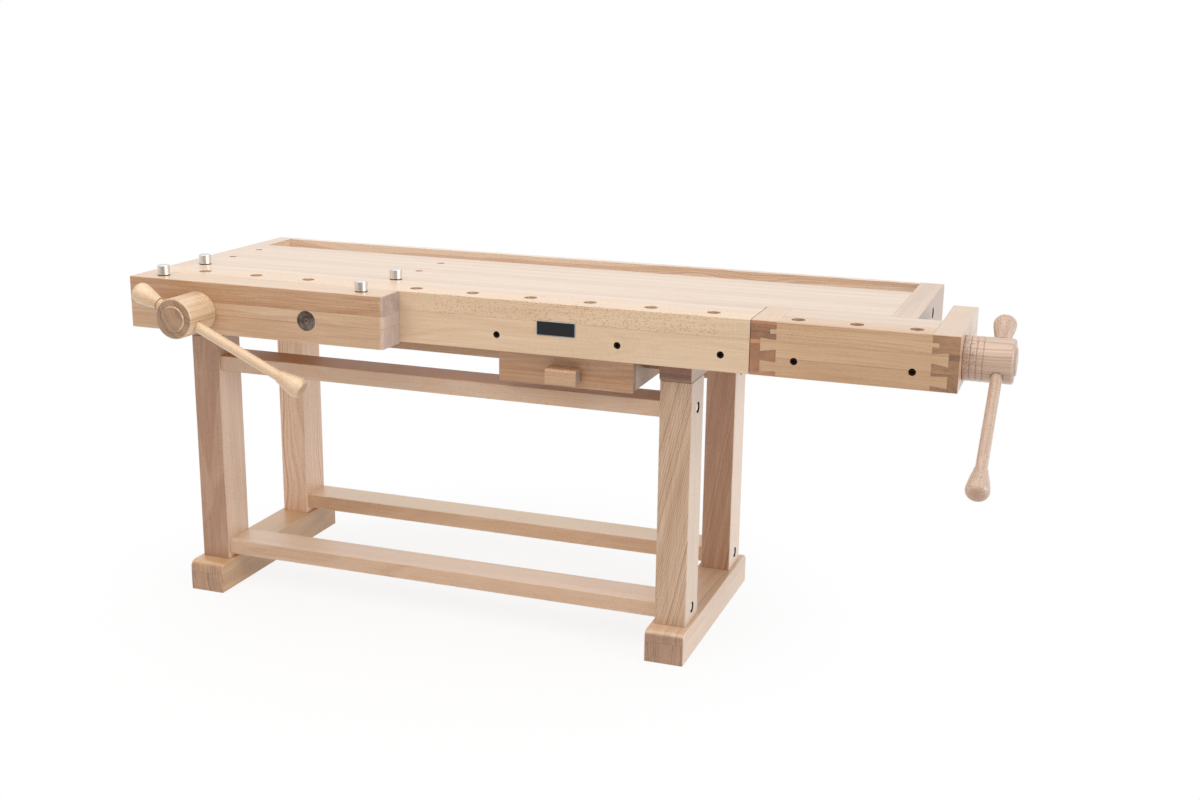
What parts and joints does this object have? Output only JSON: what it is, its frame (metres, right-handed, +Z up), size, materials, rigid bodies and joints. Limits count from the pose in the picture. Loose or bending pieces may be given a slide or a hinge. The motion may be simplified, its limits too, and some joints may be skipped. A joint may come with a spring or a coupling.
{
  "type": "woodworking bench with vises",
  "caption": "Beech cabinetmaker's bench on a trestle base, with a front vise, a dovetailed tail vise, dog holes, steel dogs, a tool tray and a drawer.",
  "frame": {"origin": "on the floor, under the middle of the whole bench's box", "axes": "+X along the bench to the tail vise, +Y to the back with the tool tray, +Z up; the front faces -Y"},
  "size_m": [2.0946, 0.8296, 0.875],
  "materials": {
    "base_beech": "satin oiled steamed beech",
    "frame_beech": "satin oiled steamed beech",
    "slab_beech": "satin oiled pale beech staves",
    "drawer_beech": "satin beech",
    "turned_beech": "smooth turned beech",
    "bright_steel": "bright turned steel",
    "grey_steel": "dull grey steel",
    "zinc_bolts": "bright zinc plate",
    "black_bolts": "blackened steel",
    "dark_plate": "plain black enamel"
  },
  "bodies": {
    "bench": {"left_foot": "base_beech", "right_foot": "base_beech", "left_top_bearer": "base_beech", "right_top_bearer": "base_beech", "left_front_leg": "base_beech", "left_rear_leg": "base_beech", "right_front_leg": "base_beech", "right_rear_leg": "base_beech", "front_lower_stretcher": "base_beech", "front_upper_stretcher": "base_beech", "rear_lower_stretcher": "base_beech", "rear_upper_stretcher": "base_beech", "left_drawer_runner": "base_beech", "right_drawer_runner": "base_beech", "front_beam": "frame_beech", "front_batten": "frame_beech", "rear_rail": "frame_beech", "left_end_cap": "frame_beech", "right_end_cap": "frame_beech", "bench_slab": "slab_beech", "tray_bottom": "slab_beech", "front_nut": "grey_steel", "tail_nut_block": "grey_steel", "left_front_lower_bolt": "zinc_bolts", "left_front_upper_bolt": "zinc_bolts", "left_rear_lower_bolt": "zinc_bolts", "left_rear_upper_bolt": "zinc_bolts", "right_front_lower_bolt": "zinc_bolts", "right_front_upper_bolt": "zinc_bolts", "right_rear_lower_bolt": "zinc_bolts", "right_rear_upper_bolt": "zinc_bolts", "beam_bolt_1": "black_bolts", "beam_bolt_2": "black_bolts", "beam_bolt_3": "black_bolts", "blank_plate": "dark_plate"},
    "front_jaw": {"front_jaw": "frame_beech", "front_guide_bar": "grey_steel"},
    "front_screw": {"front_screw": "grey_steel", "front_hub": "turned_beech"},
    "front_handle": {"front_handle": "turned_beech"},
    "tail_vise": {"tail_front_board": "frame_beech", "tail_jaw_block": "frame_beech", "tail_end_block": "frame_beech", "tail_cover_board": "frame_beech", "tail_guide_rod": "grey_steel", "tail_bolt_1": "black_bolts", "tail_bolt_2": "black_bolts"},
    "tail_screw": {"tail_screw": "grey_steel", "tail_hub": "turned_beech"},
    "tail_handle": {"tail_handle": "turned_beech"},
    "drawer": {"drawer_front": "drawer_beech", "drawer_left_side": "drawer_beech", "drawer_right_side": "drawer_beech", "drawer_back": "drawer_beech", "drawer_bottom": "drawer_beech", "drawer_pull": "drawer_beech"},
    "jaw_left_dog": {"jaw_left_dog": "bright_steel"},
    "jaw_right_dog": {"jaw_right_dog": "bright_steel"},
    "slab_left_dog": {"slab_left_dog": "bright_steel"},
    "slab_right_dog": {"slab_right_dog": "bright_steel"}
  },
  "joints": [
    {"name": "front_screw_turn", "type": "hinge", "parent": "front_jaw", "child": "front_screw", "pos_m": [-0.85525, -0.28672, 0.777], "axis": [0, -1, 0], "range_deg": [0, 7200]},
    {"name": "front_jaw_slide", "type": "slide", "parent": "bench", "child": "front_jaw", "axis": [0, -1, 0], "range_m": [0, 0.1601]},
    {"name": "front_handle_slide", "type": "slide", "parent": "front_screw", "child": "front_handle", "axis": [-0.9078, 0, 0.4195], "range_m": [-0.0163, 0.2387]},
    {"name": "tail_screw_turn", "type": "hinge", "parent": "tail_vise", "child": "tail_screw", "pos_m": [0.93775, -0.10422, 0.785], "axis": [1, 0, 0], "range_deg": [0, 6480]},
    {"name": "tail_vise_slide", "type": "slide", "parent": "bench", "child": "tail_vise", "axis": [1, 0, 0], "range_m": [0, 0.1441]},
    {"name": "tail_handle_slide", "type": "slide", "parent": "tail_screw", "child": "tail_handle", "axis": [0, 0.8181, 0.575], "range_m": [-0.0045, 0.2505]},
    {"name": "drawer_slide", "type": "slide", "parent": "bench", "child": "drawer", "axis": [0, -1, 0], "range_m": [0, 0.28]},
    {"name": "jaw_left_dog_lift", "type": "slide", "parent": "front_jaw", "child": "jaw_left_dog", "axis": [0, 0, 1], "range_m": [-0.025, 0.04]},
    {"name": "jaw_right_dog_lift", "type": "slide", "parent": "front_jaw", "child": "jaw_right_dog", "axis": [0, 0, 1], "range_m": [-0.025, 0.04]},
    {"name": "slab_left_dog_lift", "type": "slide", "parent": "bench", "child": "slab_left_dog", "axis": [0, 0, 1], "range_m": [-0.025, 0.04]},
    {"name": "slab_right_dog_lift", "type": "slide", "parent": "bench", "child": "slab_right_dog", "axis": [0, 0, 1], "range_m": [-0.025, 0.04]}
  ],
  "couplings": [
    {"joint": "front_jaw_slide", "follows": "front_screw_turn", "m_per_rad": 0.0012732},
    {"joint": "tail_vise_slide", "follows": "tail_screw_turn", "m_per_rad": 0.0012732}
  ]
}
